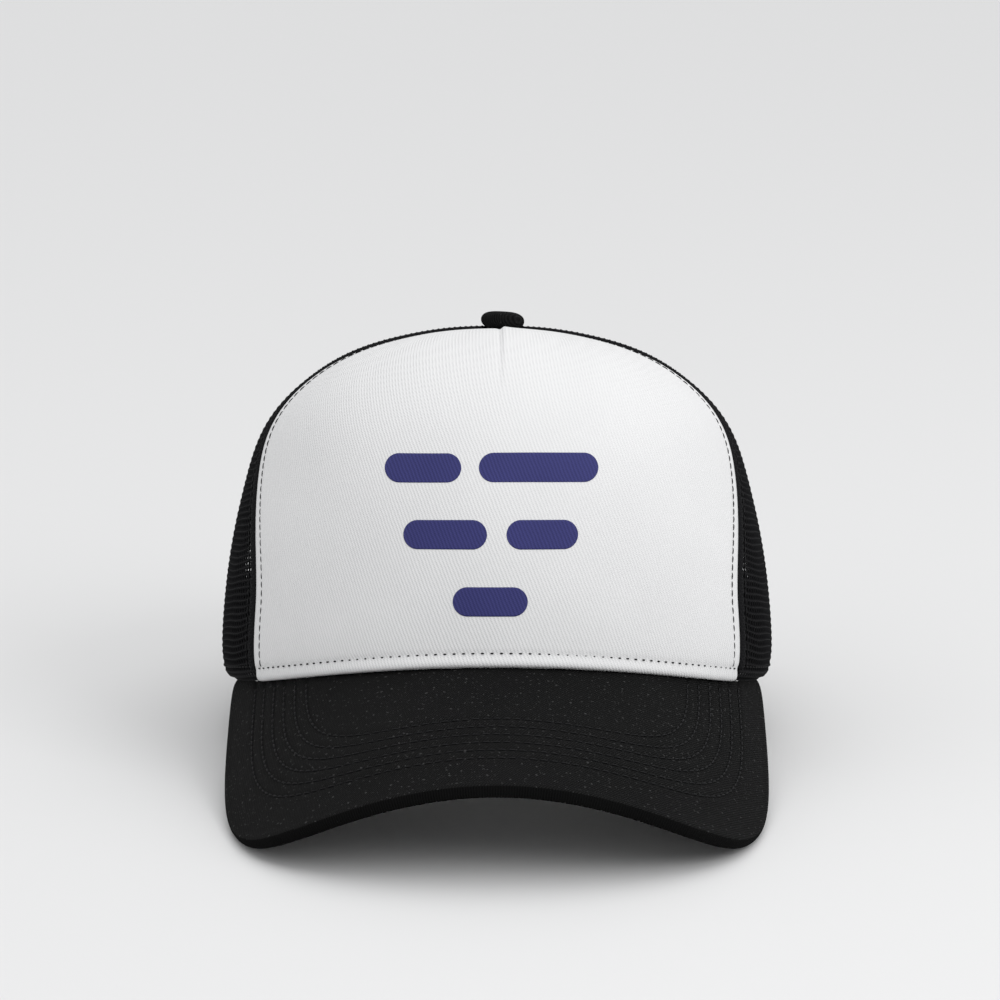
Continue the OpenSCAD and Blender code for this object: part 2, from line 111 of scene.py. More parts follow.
HINGE_POINT = [STRAP_MID * sind(STRAP_ROOT), STRAP_Y + STRAP_MID * cosd(STRAP_ROOT), STRAP_Z + STRAP_W / 2]
PLACE = np.array(HINGE["pos_m"]) - tipped(HINGE_POINT) * MM
PLACE[0] = 0


def placed(p):
    """Cap millimetres to metres in the row frame."""
    return tipped(p) * MM + PLACE


def smooth(x):
    k = np.clip(x, 0, 1)
    return k * k * (3 - 2 * k)


def bump(x, width):
    return np.exp(-((x / width) ** 2))


def as_grids(*values):
    """The values as float arrays of one common shape."""
    return np.broadcast_arrays(*(np.asarray(value, float) for value in values))


# ---- the crown's surface: phi runs round from the front, t climbs from 0 at the rim to 90 ----


def crown_power(phi):
    front, back = np.maximum(0, cosd(phi)) ** 2, np.maximum(0, -cosd(phi)) ** 2
    return SIDE_POWER + (FRONT_POWER - SIDE_POWER) * front + (BACK_POWER - SIDE_POWER) * back


def rim_z(phi):
    return FRONT_ARCH * np.maximum(0, cosd(phi)) ** 2


def crown_point(phi, t):
    power = crown_power(phi)
    s = sind(t) ** (2 / power)
    swell = SIDE_SWELL * (1 - np.exp(-s * CROWN_H / 4)) + SHOULDER * bump(s - SHOULDER_AT, SHOULDER_RUN)
    share = 1 + swell * sind(phi) ** 2 - WALL_LEAN * s * CROWN_H / 100
    r = cosd(t) ** (2 / power) * share
    sag = TOP_SAG * sind(phi) ** 2 * bump(cosd(t) ** (2 / power) - 0.4, 0.22)
    z = rim_z(phi) * (1 - s) + CROWN_H * s - sag
    return np.stack([RIM_SIDE * sind(phi) * r, -RIM_FRONT * cosd(phi) * r, z], -1)


def crown_normal(phi, t):
    around = crown_point(phi + 0.5, t) - crown_point(phi - 0.5, t)
    up = crown_point(phi, np.minimum(t + 0.4, 89.9)) - crown_point(phi, np.maximum(t - 0.4, 0.01))
    n = np.cross(around, up)
    return n / np.linalg.norm(n, axis=-1, keepdims=True)


def crown_layer(phi, t, depth):
    """Points that lie depth millimetres inside the crown's surface."""
    phi, t, depth = as_grids(phi, t, depth)
    return crown_point(phi, t) - depth[..., None] * crown_normal(phi, t)


def climb_at(phi, h):
    share = np.clip(np.asarray(h, float) / (CROWN_H - rim_z(phi)), 0, 1)
    return np.degrees(np.arcsin(share ** (crown_power(phi) / 2)))


def seam_share(t):
    """How far a seam has swept round at climb t, from 0 at the rim to 1 near the button."""
    return smooth((sind(t) ** (2 / SIDE_POWER) - SWEEP_START) / SWEEP_RUN)


def front_seam(t):
    return FRONT_SEAM + FRONT_SWEEP * seam_share(t)


def rear_seam(t):
    return REAR_SEAM + REAR_SWEEP * seam_share(t)


def crown_radius(phi, t):
    """How many millimetres one radian of phi spans."""
    step = crown_point(phi + 0.5, t) - crown_point(phi - 0.5, t)
    return np.linalg.norm(step, axis=-1) / math.radians(1.0)


TOP = 89.62  # where the panels end, under the button

# Climbs from the rim to the top, closer together at both ends
CLIMBS = np.concatenate([np.linspace(0, 2, 60) ** 2 / 2, np.linspace(2.05, 88, 400),
                         np.linspace(88.02, TOP, 200)])


def climb_table(phi):
    """Length along the crown's wall from the rim to each of CLIMBS."""
    p = crown_point(np.full_like(CLIMBS, phi), CLIMBS)
    return np.concatenate([[0], np.cumsum(np.linalg.norm(np.diff(p, axis=0), axis=1))])


# ---- the visor's surface: w runs round the bend and t out along the droop ----


def bend_r(t):
    return VISOR_R - VISOR_TAPER * t


def bend_drop(w, t):
    return bend_r(t) * (1 - np.cos(w / bend_r(t)))


def bent_y(w, t):
    return -RIM_FRONT - t * cosd(VISOR_DROOP) + bend_drop(w, t) * sind(VISOR_DROOP)


def bent_z(w, t):
    return VISOR_Z - t * sind(VISOR_DROOP) - bend_drop(w, t) * cosd(VISOR_DROOP)


def rim_on_visor(phi, out):
    """Where on the visor the rim lies, moved outwards by out."""
    x, y = (RIM_SIDE + out) * sind(phi), -(RIM_FRONT + out) * cosd(phi)
    t = np.zeros_like(x)
    for _ in range(5):
        w = bend_r(t) * np.arcsin(x / bend_r(t))
        last = t
        t = (bend_drop(w, t) * sind(VISOR_DROOP) - RIM_FRONT - y) / cosd(VISOR_DROOP)
    return w, last


def rim_miss(phi):
    """How far the rim's seam lies above the plainly bent visor."""
    w, t = rim_on_visor(phi, 0.0)
    return rim_z(phi) - VISOR_DROP - bent_z(w, t)


def visor_point(w, t, depth):
    """Points that lie depth millimetres below the visor's upper face."""
    w, t, depth = as_grids(w, t, depth)
    turn = w / bend_r(t)
    x, y = bend_r(t) * np.sin(turn), bent_y(w, t)
    across, along = x / RIM_SIDE, -y / RIM_FRONT
    phi = np.clip(np.degrees(np.arctan2(across, along)), -VISOR_END - 5, VISOR_END + 5)
    out = np.maximum(0, np.hypot(across, along) - 1) * RIM_FRONT
    z = bent_z(w, t) + rim_miss(phi) * np.exp(-out / SEAM_REACH)
    return np.stack([x - depth * np.sin(turn), y - depth * np.cos(turn) * sind(VISOR_DROOP),
                     z - depth * np.cos(turn) * cosd(VISOR_DROOP)], -1)


def outline(turn, inset, front=0.0):
    """The visor's outline moved inwards by inset, and by front more at its front edge."""
    half_w, length = VISOR_HALF_W - inset, VISOR_L - VISOR_MID - inset - front
    across, along = np.abs(sind(turn)) / half_w, np.abs(cosd(turn)) / length
    r = (across ** VISOR_POWER + along ** VISOR_POWER) ** (-1 / VISOR_POWER)
    return r * sind(turn), VISOR_MID + r * cosd(turn)


def inset_of(w, t, front=0.0):
    """How far inside the outline a point of the visor is. front is as in outline."""
    low, high = np.zeros_like(w), np.full_like(w, 90.0)
    for _ in range(26):
        mid = (low + high) / 2
        a = np.abs(w) / (VISOR_HALF_W - mid)
        b = np.abs(t - VISOR_MID) / (VISOR_L - VISOR_MID - mid - front)
        outside = a ** VISOR_POWER + b ** VISOR_POWER > 1
        high = np.where(outside, mid, high)
        low = np.where(outside, low, mid)
    return low


# ---- mesh building ----


def new_object(name, verts, faces, uvs=None):
    mesh = bpy.data.meshes.new(name)
    mesh.from_pydata([tuple(v) for v in verts], [], faces)
    mesh.polygons.foreach_set("use_smooth", [True] * len(mesh.polygons))
    if uvs is not None:
        layer = mesh.uv_layers.new(name="cloth")
        loops = np.zeros(len(mesh.loops), np.int32)
        mesh.loops.foreach_get("vertex_index", loops)
        layer.data.foreach_set("uv", np.asarray(uvs, np.float32)[loops].ravel())
    mesh.update()
    obj = bpy.data.objects.new(name, mesh)
    bpy.context.scene.collection.objects.link(obj)
    return obj


def finish_piece(obj, material, body="cap", nodes=()):
    obj.data.materials.append(material)
    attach(obj, body)
    if nodes:
        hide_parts(*nodes)
    return obj


def plain_node(name, material):
    """A hidden CAD node that only needs its material."""
    mesh = frame["nodes"][name].data
    mesh.materials.clear()
    mesh.materials.append(material)


def grid_faces(rows, cols, start=0, flip=False):
    faces = []
    for i in range(rows - 1):
        for j in range(cols - 1):
            a = start + i * cols + j
            quad = (a, a + 1, a + cols + 1, a + cols)
            faces.append(quad[::-1] if flip else quad)
    return faces


def slab(name, upper, lower, uv):
    """A closed sheet between two grids of cap points, shape (rows, cols, 3). The upper side faces out."""
    rows, cols = upper.shape[:2]
    n = rows * cols
    verts = placed(np.concatenate([upper.reshape(-1, 3), lower.reshape(-1, 3)]))
    faces = grid_faces(rows, cols) + grid_faces(rows, cols, n, flip=True)
    loop = (list(range(cols)) + [i * cols + cols - 1 for i in range(1, rows)]
            + [(rows - 1) * cols + j for j in range(cols - 2, -1, -1)]
            + [i * cols for i in range(rows - 2, 0, -1)])
    for a, b in zip(loop, loop[1:] + loop[:1]):
        faces.append((b, a, n + a, n + b))
    flat = uv.reshape(-1, 2)
    return new_object(name, verts, faces, np.concatenate([flat, flat]))


def rounded(obj, width, segments=2):
    """Softens the sheet's sharp edges."""
    mod = obj.modifiers.new("edge", "BEVEL")
    mod.width, mod.segments = width * MM, segments
    mod.limit_method, mod.angle_limit = "ANGLE", math.radians(55)
    return obj


def arc_lengths(p):
    """Metres along each row, and up each column, of a grid of cap points."""
    across = np.linalg.norm(np.diff(p, axis=1), axis=-1)
    up = np.linalg.norm(np.diff(p, axis=0), axis=-1)
    u = np.concatenate([np.zeros((p.shape[0], 1)), np.cumsum(across, 1)], 1)
    u = u - u[:, [p.shape[1] // 2]]
    v = np.concatenate([np.zeros((1, p.shape[1])), np.cumsum(up, 0)], 0)
    return np.stack([u, v], -1) * MM


def divided(path, step):
    """Lengths at which a polyline is cut into steps, and the length at each of its points."""
    seg = np.linalg.norm(np.diff(path, axis=0), axis=1)
    s = np.concatenate([[0], np.cumsum(seg)])
    count = max(2, int(s[-1] / step))
    return np.linspace(0, s[-1], count + 1), s


def sampled(values, s, at):
    """Rows of three values, given at the lengths s, read off at other lengths."""
    return np.stack([np.interp(at, s, values[:, k]) for k in range(3)], -1)


def stitches(name, runs, length, gap, width, height, sink=0.06):
    """Thread along runs of (points, normals) in cap millimetres. Every stitch is a small swelling bead."""
    rings, sides = 6, 6
    verts, faces = [], []
    for points, normals in runs:
        at, s = divided(points, length + gap)
        for i in range(len(at) - 1):
            span = at[i + 1] - at[i]
            ts = at[i] + gap / 2 + (span - gap) * np.linspace(0, 1, rings)
            p, n = sampled(points, s, ts), sampled(normals, s, ts)
            d = np.gradient(p, axis=0)
            d /= np.linalg.norm(d, axis=1, keepdims=True)
            n -= d * np.sum(n * d, axis=1, keepdims=True)
            n /= np.linalg.norm(n, axis=1, keepdims=True)
            b = np.cross(d, n)
            k = np.linspace(-1, 1, rings)
            fat = np.sqrt(np.maximum(0.12, 1 - np.abs(k) ** 3))
            rise = -sink + (height / 2) * (1 - k ** 2) ** 0.6 * 0.8
            base = len(verts)
            for r in range(rings):
                centre = p[r] + n[r] * rise[r]
                for q in range(sides):
                    a = 2 * math.pi * q / sides
                    across, up = math.cos(a) * width / 2 * fat[r], math.sin(a) * height / 2 * fat[r]
                    verts.append(centre + b[r] * across + n[r] * up)
            for r in range(rings - 1):
                for q in range(sides):
                    a0, a1 = base + r * sides + q, base + r * sides + (q + 1) % sides
                    faces.append((a0, a1, a1 + sides, a0 + sides))
            faces.append(tuple(base + q for q in range(sides))[::-1])
            faces.append(tuple(base + (rings - 1) * sides + q for q in range(sides)))
    return new_object(name, placed(np.array(verts)), faces)


# ---- materials ----


def shader(name, color, roughness, sheen=0.0, specular=0.3):
    mat = bpy.data.materials.new(name)
    mat.use_nodes = True
    nodes, links = mat.node_tree.nodes, mat.node_tree.links
    bsdf = nodes["Principled BSDF"]
    bsdf.inputs["Base Color"].default_value = (*color, 1)
    bsdf.inputs["Roughness"].default_value = roughness
    bsdf.inputs["Specular IOR Level"].default_value = specular
    bsdf.inputs["Sheen Weight"].default_value = sheen
    bsdf.inputs["Sheen Roughness"].default_value = 0.5
    return mat, nodes, links, bsdf


def math_node(nodes, links, op, a, b=None, c=None):
    node = nodes.new("ShaderNodeMath")
    node.operation = op
    for socket, value in zip(node.inputs, (a, b, c)):
        if value is None:
            continue
        if isinstance(value, (int, float)):
            socket.default_value = value
        else:
            links.new(value, socket)
    return node.outputs[0]


def coordinates(nodes, kind):
    return nodes.new("ShaderNodeTexCoord").outputs[kind]


def relief_node(nodes, links, bsdf, height, depth):
    """Bump of depth metres."""
    node = nodes.new("ShaderNodeBump")
    node.inputs["Strength"].default_value = 1.0
    node.inputs["Distance"].default_value = depth
    links.new(height, node.inputs["Height"])
    links.new(node.outputs[0], bsdf.inputs["Normal"])


def flecked(nodes, links, vec, color, amount):
    """Pale flecks of lint over a colour."""
    specks = noise(nodes, links, vec, 900, 1, 0.3)
    mask = nodes.new("ShaderNodeMapRange")
    mask.inputs["From Min"].default_value = 0.67
    mask.inputs["From Max"].default_value = 0.74
    mask.inputs["To Max"].default_value = amount
    links.new(specks, mask.inputs["Value"])
    mix = nodes.new("ShaderNodeMix")
    mix.data_type = "RGBA"
    links.new(mask.outputs[0], mix.inputs["Factor"])
    links.new(color, mix.inputs["A"])
    mix.inputs["B"].default_value = (0.09, 0.09, 0.09, 1)
    return mix.outputs["Result"]


def noise(nodes, links, vector, scale, detail=3.0, rough=0.55):
    node = nodes.new("ShaderNodeTexNoise")
    node.inputs["Scale"].default_value = scale
    node.inputs["Detail"].default_value = detail
    node.inputs["Roughness"].default_value = rough
    links.new(vector, node.inputs["Vector"])
    return node.outputs["Fac"]


def ramp_mix(nodes, links, factor, low, high):
    """Colour between low and high."""
    node = nodes.new("ShaderNodeValToRGB")
    node.color_ramp.elements[0].color = (*low, 1)
    node.color_ramp.elements[1].color = (*high, 1)
    links.new(factor, node.inputs["Fac"])
    return node.outputs["Color"]


def twill(name, dark, light, wale, slope, depth, roughness=0.85, sheen=0.0, lint=0.0, specular=0.3,
          contrast=0.17):
    """Diagonal ribs of yarn. wale is their spacing in metres, and slope the sideways step per metre up."""
    mat, nodes, links, bsdf = shader(name, light, roughness, sheen, specular)
    vec = coordinates(nodes, "UV")
    split = nodes.new("ShaderNodeSeparateXYZ")
    links.new(vec, split.inputs[0])
    u, v = split.outputs[0], split.outputs[1]
    wobble = noise(nodes, links, vec, 260, 2)
    lean = math_node(nodes, links, "MULTIPLY_ADD", v, slope, u)
    lean = math_node(nodes, links, "MULTIPLY_ADD", wobble, wale * 0.5, lean)
    ribs = math_node(nodes, links, "SINE", math_node(nodes, links, "MULTIPLY", lean, 2 * math.pi / wale))
    yarn = math_node(nodes, links, "MULTIPLY", u, 2 * math.pi / (wale * 1.1))
    yarn = math_node(nodes, links, "MULTIPLY_ADD", v, 2 * math.pi / (wale * 0.55), yarn)
    cross = math_node(nodes, links, "SINE", yarn)
    height = math_node(nodes, links, "MULTIPLY_ADD", cross, 0.35, ribs)
    fibre = noise(nodes, links, vec, 2600, 3)
    height = math_node(nodes, links, "MULTIPLY_ADD", fibre, 0.8, height)
    tone = math_node(nodes, links, "MULTIPLY_ADD", height, contrast, 0.5)
    patch = noise(nodes, links, vec, 28, 4)
    tone = math_node(nodes, links, "SUBTRACT", tone, 0.25)
    tone = math_node(nodes, links, "MULTIPLY_ADD", patch, 0.5, tone)
    color = ramp_mix(nodes, links, tone, dark, light)
    if lint:
        color = flecked(nodes, links, vec, color, lint)
    links.new(color, bsdf.inputs["Base Color"])
    relief_node(nodes, links, bsdf, height, depth)
    return mat


def fibrous(name, dark, light, scale, depth, roughness, sheen=0.0, specular=0.3):
    """Yarn, thread, metal or moulded plastic: colour and height from fine noise."""
    mat, nodes, links, bsdf = shader(name, light, roughness, sheen, specular)
    vec = coordinates(nodes, "Object")
    grain = noise(nodes, links, vec, scale, 4)
    patch = noise(nodes, links, vec, scale / 40, 3)
    tone = math_node(nodes, links, "MULTIPLY", grain, 0.5)
    tone = math_node(nodes, links, "MULTIPLY_ADD", patch, 0.5, tone)
    links.new(ramp_mix(nodes, links, tone, dark, light), bsdf.inputs["Base Color"])
    relief_node(nodes, links, bsdf, grain, depth)
    return mat


FRONT_WALE, FRONT_SLOPE = 0.00113, 0.4  # the print lies on the same weave as the front
WHITE_TWILL = twill("white_twill", (0.64, 0.64, 0.645), (0.79, 0.79, 0.79), FRONT_WALE, FRONT_SLOPE,
                    0.000045, sheen=0.04)
INK = twill("print_ink", (0.021, 0.022, 0.088), (0.052, 0.054, 0.198), FRONT_WALE, FRONT_SLOPE,
            0.00005, roughness=0.7, specular=0.15)
VISOR_TWILL = twill("visor_twill", (0.0015, 0.0015, 0.0015), (0.0115, 0.0115, 0.0115), 0.00095, 0.8,
                    0.00016, roughness=0.9, sheen=0.004, lint=0.5, specular=0.06, contrast=0.34)
# A darker copy of the visor twill for its rounded edge band: painted shade where the edge turns down, away from
# the lights
VISOR_EDGE_SHADE = twill("visor_edge_painted_shade", (0.0008, 0.0008, 0.0008), (0.005, 0.005, 0.005), 0.0008, 0.0,
                   0.0001, roughness=0.95, specular=0.04)
TAPE = twill("tape_weave", (0.003, 0.003, 0.0035), (0.012, 0.012, 0.013), 0.0007, 0.0,
             0.00006, sheen=0.02, specular=0.15)
SWEAT = twill("sweatband_weave", (0.004, 0.004, 0.0045), (0.016, 0.016, 0.017), 0.0006, 1.0,
              0.00005, roughness=0.9, sheen=0.03, specular=0.12)
LINING = twill("lining_weave", (0.50, 0.49, 0.46), (0.74, 0.73, 0.70), 0.0009, 0.0,
               0.00005, roughness=0.9, sheen=0.1)
MESH_YARN = fibrous("mesh_yarn", (0.002, 0.002, 0.0025), (0.009, 0.009, 0.010), 1800, 0.00008, 0.75,
                    specular=0.09)
THREAD = fibrous("black_thread", (0.002, 0.002, 0.0025), (0.007, 0.007, 0.008), 3500, 0.00006, 0.65,
                 specular=0.2)
PLASTIC = fibrous("strap_plastic", (0.008, 0.008, 0.009), (0.018, 0.018, 0.02), 900, 0.00002, 0.38,
                  specular=0.5)
LABEL = fibrous("label_cloth", (0.62, 0.62, 0.60), (0.8, 0.8, 0.78), 2200, 0.00004, 0.85, sheen=0.1)
METAL = fibrous("button_metal", (0.35, 0.35, 0.36), (0.5, 0.5, 0.51), 700, 0.00002, 0.4, specular=0.5)
BOARD = fibrous("visor_board", (0.6, 0.6, 0.58), (0.75, 0.75, 0.72), 500, 0.00003, 0.6)


# ---- the front panel ----


def panel_relief(phi, t):
    """Height in millimetres that the white cloth stands off its plain surface."""
    p = crown_point(phi, t)
    x, z = p[..., 0], p[..., 2]
    off_seam = (front_seam(t) - np.abs(phi)) * np.radians(1) * np.maximum(crown_radius(phi, t), 1)
    h = z - rim_z(phi)
    # It swells beside the seam, and is drawn in and puckered by each row of stitches
    puff = 0.45 * (1 - np.exp(-np.maximum(off_seam, 0) / 2.0)) - 0.3 * bump(off_seam - SEAM_INSET, 1.1)
    puff += 0.12 * bump(off_seam - SEAM_INSET, 1.3) * np.sin(h * 2 * math.pi / SEAM_STITCH)
    hem = 0.9 * bump(h - 1.3, 1.5) - 0.25 * bump(h - HEM_ROW, 0.9)
    hem += 0.14 * bump(h - HEM_ROW, 1.2) * np.sin(x * 2 * math.pi / HEM_STITCH)
    # The dart is a pleat that dies away downwards from the button, with a crease on its left
    dart = np.clip(1 - (CROWN_H - z) / DART_L, 0, 1) ** 0.8
    pleat = 0.85 * dart * smooth((x - 1.0) / 1.5) * np.exp(-np.maximum(x - 2.6, 0) / 5)
    pleat -= 0.35 * dart * bump(x - 0.9, 0.9)
    # Long shallow waves, which fade towards the seams and the top
    drape = 0.5 * np.sin(x / 21 + 0.6) * np.sin(z / 33) * smooth(h / 25) + 0.25 * np.sin(x / 9 - z / 14)
    below_top = 1 - smooth((t - 45) / 30)
    return puff * below_top + hem + pleat + drape * smooth(off_seam / 14) * (0.3 + 0.7 * below_top)


def dense_climbs(count):
    """Climbs that are evenly spaced along the wall at the front, closer at the hem."""
    s = climb_table(0.0)
    at = np.concatenate([np.linspace(0, 7, 15)[:-1], np.linspace(7, s[-1], count)])
    return np.interp(at, s, CLIMBS)


def build_front_panel():
    t = dense_climbs(150)[:, None]
    edge = front_seam(t) - 0.25
    phi = edge * np.linspace(-1, 1, 231)[None, :]
    t = np.broadcast_to(t, phi.shape)
    outer = crown_layer(phi, t, -panel_relief(phi, t) * CLOTH_LIFT)
    inner = crown_layer(phi, t, PANEL_INNER)
    # The bottom edge rolls under
    outer[0] = crown_layer(phi[0], t[0], 0.35) - [0, 0, 0.2]
    # The wales stand steeper towards the button, where the cloth is drawn together
    uv = arc_lengths(outer)
    height = outer[..., 2]
    uv[..., 1] = (height - np.maximum(height - 80, 0) ** 2 / 74) * MM
    obj = slab("front_panel_cloth", outer, inner, uv)
    finish_piece(obj, WHITE_TWILL, nodes=("front_panel",))


def build_print():
    """Plain bars with round ends, each given by its middle and its length."""
    bars = [(-23, 72.5, 24), (13, 72.5, 37), (-16, 52, 26), (14, 52, 22), (-2, 31.5, 23)]
    radius = 4.5
    for number, (cx, cz, length) in enumerate(bars):
        a = np.linspace(0, math.pi, 61)
        x = cx - length / 2 * np.cos(a)
        into = np.maximum(0, np.abs(x - cx) - length / 2 + radius) / radius
        half = radius * np.sqrt(np.maximum(0.0004, 1 - into ** 2))
        k = np.linspace(-1, 1, 17)[:, None]
        z = cz + k * half[None, :]
        x = np.broadcast_to(x, z.shape)
        # Settle on the angle and climb at which the crown passes through x and z
        phi = np.degrees(np.arcsin(x / (RIM_SIDE * 0.97)))
        for _ in range(6):
            t = climb_at(phi, z - rim_z(phi))
            wide = crown_point(phi, t)[..., 0] / np.maximum(np.abs(sind(phi)), 1e-6) * np.sign(phi + 1e-9)
            phi = np.degrees(np.arcsin(np.clip(x / np.maximum(wide, 40), -1, 1)))
        relief = panel_relief(phi, t) * CLOTH_LIFT
        outer = crown_layer(phi, t, -relief - 0.09)
        inner = crown_layer(phi, t, -relief - 0.01)
        obj = slab(f"print_bar_{number + 1}", outer, inner, np.stack([x, z], -1) * MM)
        finish_piece(obj, INK)
        if number == 0:
            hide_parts("front_print")


def build_backing():
    t = dense_climbs(60)[3:-3, None]
    phi = (front_seam(t) - 1.5) * np.linspace(-1, 1, 81)[None, :]
    t = np.broadcast_to(t, phi.shape)
    outer, inner = (crown_layer(phi, t, depth) for depth in LINING_DEPTHS)
    finish_piece(slab("front_lining", outer, inner, arc_lengths(outer)), LINING,
                 nodes=("front_backing",))


# ---- knitted mesh ----

CELL_W, CELL_H = 2.3, 2.1  # spacing of the mesh's holes
HOLE_W, HOLE_H = 1.45, 1.25
HEM_H = 4.5  # height of the doubled hem, in which the holes are nearly closed


def knitted(name, side, middle, left, right, low, node):
    """A knitted panel with real holes, laid out round the angle middle. left and right give its edges'
    angles at each climb, and low its lower edge's height at each angle."""
    lengths = climb_table(float(middle))
    rows = int(lengths[-1] / CELL_H)
    half_cols = int(75 / CELL_W)
    ring = [(-0.5, -0.5), (0, -0.5), (0.5, -0.5), (0.5, 0), (0.5, 0.5), (0, 0.5), (-0.5, 0.5), (-0.5, 0)]
    index, xs, ys, depths, faces = {}, [], [], [], []

    def vertex(x, y, depth, key):
        if key not in index:
            index[key] = len(xs)
            xs.append(x)
            ys.append(y)
            depths.append(depth)
        return index[key]

    row_y = (np.arange(rows) + 0.5) * CELL_H
    row_t = np.interp(row_y, lengths, CLIMBS)
    radius = crown_radius(np.full_like(row_t, middle), row_t)
    for i in range(rows):
        t = row_t[i]
        from_x = (left(t) - middle) * math.radians(1) * radius[i]
        to_x = (right(t) - middle) * math.radians(1) * radius[i]
        for j in range(-half_cols, half_cols + 1):
            cx, cy = (j + 0.5 * (i % 2)) * CELL_W, row_y[i]
            if cx < from_x - CELL_W * 0.5 or cx > to_x + CELL_W * 0.5:
                continue
            phi = middle + math.degrees(cx / radius[i])
            if cy + CELL_H / 2 < low(phi):
                continue
            outer, back, hole = [], [], []
            for a, b in ring:
                x, y = cx + a * CELL_W, cy + b * CELL_H
                key = (round(2 * x / CELL_W), round(2 * y / CELL_H))
                rib = -0.12 if b != 0 else 0.1
                outer.append(vertex(x, y, rib, (*key, 0)))
                back.append(vertex(x, y, 0.85 if b != 0 else 0.7, (*key, 1)))
                shrink = 0.1 if cy < HEM_H else 1.0
                round_off = 0.74 if a and b else 1.0
                hole.append(vertex(cx + a * HOLE_W * shrink * round_off, cy + b * HOLE_H * shrink * round_off,
                                   0.42, (i, j, a, b)))
            for k in range(8):
                m = (k + 1) % 8
                faces.append((outer[k], outer[m], hole[m], hole[k]))
                faces.append((back[m], back[k], hole[k], hole[m]))
    x, y, depth = np.array(xs), np.array(ys), np.array(depths)
    t = np.interp(y, lengths, CLIMBS)
    r = crown_radius(np.full_like(t, middle), t)
    phi = middle + np.degrees(x / r)
    phi = np.clip(phi, left(t) + 0.1, right(t) - 0.1)
    floor = np.array([low(p) for p in phi])
    # The rows rise towards the front seam, and wander a little
    from_front = np.maximum((phi - left(t)) * math.radians(1) * r, 0)
    risen = y + smooth(y / 14) * (2.4 * np.exp(-from_front / 9) + 0.22 * np.sin(x / 4.1 + y / 6.3))
    lifted = np.minimum(np.maximum(risen, floor), lengths[-1])
    t = np.interp(lifted, lengths, CLIMBS)
    phi = np.clip(phi, left(t) + 0.1, right(t) - 0.1)
    # The hem rolls inwards at the rim
    depth = depth + 0.9 * bump(lifted, 2.2) - 0.5 * bump(lifted - 3.0, 1.6)
    points = crown_layer(phi, t, depth)
    points[:, 0] *= side
    obj = new_object(name, placed(points), faces if side > 0 else [f[::-1] for f in faces],
                     np.stack([x, y], -1) * MM)
    clean = bmesh.new()
    clean.from_mesh(obj.data)
    bmesh.ops.remove_doubles(clean, verts=clean.verts, dist=0.03 * MM)
    bmesh.ops.dissolve_degenerate(clean, edges=clean.edges, dist=0.02 * MM)
    clean.to_mesh(obj.data)
    clean.free()
    finish_piece(obj, MESH_YARN, nodes=(node,))


def arch_half(offset):
    return ARCH_DEG + math.degrees(offset / RIM_FRONT)


def arch_edge(deg, offset):
    k = np.clip(np.abs(deg) / arch_half(offset), 0, 1)
    return (ARCH_H + offset) * (1 - k ** ARCH_POWER) ** (1 / ARCH_POWER)


def rear_middle(t):
    return 180.0 + 0 * t


def at_rim(phi):
    return 0.0


def over_arch(phi):
    return float(arch_edge(180 - phi, BINDING_W - 1.5))


def build_mesh_panels():
    for side, word in ((1, "left"), (-1, "right")):
        knitted(f"{word}_side_knit", side, 92.0, front_seam, rear_seam, at_rim, f"{word}_side_mesh")
        knitted(f"{word}_rear_knit", side, 152.0, rear_seam, rear_middle, over_arch, f"{word}_rear_mesh")


# ---- strips along seams ----


def seam_strip(name, side, seam, width, depth, thick, t_from, t_to, material, nodes=(),
               offset=0.0, ribs=0.0, top_lift=0.0):
    """A strip that follows a seam, width millimetres wide and offset sideways from it. ribs is the height
    of its knots, and top_lift how much higher it stands near the button."""
    lengths = climb_table(float(seam(30.0)))
    start, end = np.interp([t_from, t_to], CLIMBS, lengths)
    t = np.interp(np.linspace(start, end, int((end - start) / (0.3 if ribs else 1.2))), lengths, CLIMBS)[:, None]
    k = np.linspace(-1, 1, 17)[None, :]
    r = np.maximum(crown_radius(seam(t) + 0 * t, t), 1.0)
    phi = seam(t) + np.degrees((offset + k * width / 2) / r)
    t = np.broadcast_to(t, phi.shape)
    crown = thick * 0.45 * (1 - k ** 2) + top_lift * smooth((t - 45) / 30)
    outer = crown_layer(phi, t, depth - crown)
    length = arc_lengths(outer)[..., 1] / MM
    if ribs:
        knots = np.sin(length * 2 * math.pi / 1.9) * np.cos(k * 1.5 * math.pi) * (1 - k ** 4)
        outer = crown_layer(phi, t, depth - crown - ribs * knots)
    inner = crown_layer(phi, t, depth + thick)
    outer[..., 0] *= side
    inner[..., 0] *= side
    if side < 0:
        outer, inner = outer[:, ::-1], inner[:, ::-1]
    obj = slab(name, outer, inner, arc_lengths(outer))
    finish_piece(obj, material, nodes=nodes)


def build_seams():
    for side, word in ((1, "left"), (-1, "right")):
        seam_strip(f"{word}_front_tape", side, front_seam, TAPE_W, FRONT_TAPE_DEPTH, TAPE_T, 1.0, TAPE_END,
                   TAPE, (f"{word}_front_seam_tape",))
        seam_strip(f"{word}_rear_tape", side, rear_seam, TAPE_W, REAR_TAPE_DEPTH, TAPE_T, 1.0, TAPE_END,
                   TAPE, (f"{word}_rear_seam_tape",))
        seam_strip(f"{word}_front_seam_roll", side, front_seam, 3.4, -0.15, 0.7, 0.5, ROLL_END,
                   MESH_YARN, offset=1.75, ribs=0.28, top_lift=0.45)
        seam_strip(f"{word}_rear_seam_roll", side, rear_seam, 1.6, 0.0, 0.6, 0.5, ROLL_END,
                   MESH_YARN, ribs=0.15)
    foot = float(climb_at(180.0, ARCH_H + BINDING_W + 1))
    seam_strip("centre_tape", 1, rear_middle, TAPE_W, REAR_TAPE_DEPTH, TAPE_T, foot, TAPE_END,
               TAPE, ("centre_rear_seam_tape",))
    seam_strip("centre_seam_roll", 1, rear_middle, 1.6, 0.0, 0.6, foot, ROLL_END,
               MESH_YARN, ribs=0.15)


